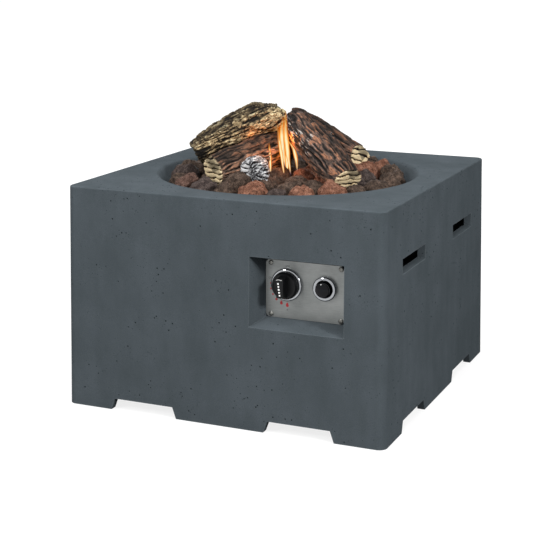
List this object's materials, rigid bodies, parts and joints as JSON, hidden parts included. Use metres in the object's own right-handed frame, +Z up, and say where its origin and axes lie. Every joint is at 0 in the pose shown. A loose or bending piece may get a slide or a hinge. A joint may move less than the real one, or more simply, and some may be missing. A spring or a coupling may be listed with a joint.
{
  "type": "gas fire pit",
  "caption": "Square cast gas fire pit with a round bowl of lava rock and ceramic logs, and a recessed panel with a gas knob and a push igniter.",
  "frame": {"origin": "centre of the footprint on the floor", "axes": "+Z up, -Y out of the front face with the control recess, +X to the right"},
  "size_m": [0.616, 0.616, 0.5367],
  "materials": {
    "concrete": "fine cast concrete, matt, with pin holes",
    "steel_plate": "fine brushed stainless sheet",
    "steel_screws": "turned stainless",
    "chrome": "polished chrome plating",
    "knob_plastic": "black, satin",
    "button_plastic": "black, glossy",
    "black_plastic": "black moulded",
    "valve_casting": "as cast",
    "zinc_steel": "zinc plated",
    "spring_steel": "drawn wire",
    "brass": "machined",
    "aluminium_tube": "drawn tube",
    "burner_steel": "stainless, heat tinted",
    "ceramic_insulator": "unglazed",
    "copper_lead": "drawn copper",
    "silicone_lead": "silicone sleeve",
    "battery_case": "plain printed can",
    "lava_rock": "porous lava, brown and red",
    "log_bark": "painted ceramic, red brown bark",
    "log_ash": "painted ceramic, ash grey",
    "log_weathered": "painted ceramic, weathered tan and black"
  },
  "bodies": {
    "root": {"outer_shell": "concrete", "control_plate": "steel_plate", "plate_inserts": "brass", "pan_inserts": "brass", "plate_screws": "steel_screws", "pan_screws": "steel_screws", "dial_ring": "chrome", "valve_body": "valve_casting", "valve_nut": "zinc_steel", "spindle_spring": "spring_steel", "magnet_unit": "brass", "thermocouple_nut": "brass", "gas_inlet_fitting": "brass", "gas_pipe": "aluminium_tube", "valve_pipe_nut": "brass", "elbow_pipe_nut": "brass", "injector_elbow": "brass", "injector_jet": "brass", "injector_bracket": "zinc_steel", "burner_pan": "burner_steel", "burner_ring": "burner_steel", "burner_brackets": "burner_steel", "pilot_bracket": "burner_steel", "pilot_guard": "burner_steel", "thermocouple": "burner_steel", "ignition_electrode": "ceramic_insulator", "thermocouple_lead": "copper_lead", "ignition_lead": "silicone_lead", "igniter_barrel": "black_plastic", "igniter_nut": "zinc_steel", "igniter_bezel": "chrome", "igniter_spring": "spring_steel", "battery": "battery_case", "igniter_terminals": "brass", "lava_rocks_outer": "lava_rock", "lava_rocks_middle": "lava_rock", "lava_rocks_lower": "lava_rock", "log_bark": "log_bark", "log_front": "log_bark", "log_rear": "log_bark", "log_ash_stub": "log_ash", "log_weathered": "log_weathered"},
    "press_carrier": {"spindle_washer": "zinc_steel"},
    "knob": {"control_knob": "knob_plastic", "valve_spindle": "zinc_steel"},
    "button": {"igniter_button": "button_plastic"}
  },
  "joints": [
    {"name": "knob_press", "type": "slide", "parent": "root", "child": "press_carrier", "axis": [0, 1, 0], "range_m": [0, 0.004], "stiffness_N_per_m": 900, "springref_m": -0.004, "deforming": ["spindle_spring"]},
    {"name": "knob_turn", "type": "hinge", "parent": "press_carrier", "child": "knob", "pos_m": [0.112, -0.27, 0.258], "axis": [0, -1, 0], "range_deg": [0, 180]},
    {"name": "igniter_press", "type": "slide", "parent": "root", "child": "button", "axis": [0, 1, 0], "range_m": [0, 0.003], "stiffness_N_per_m": 1000, "springref_m": -0.004, "deforming": ["igniter_spring"]}
  ]
}
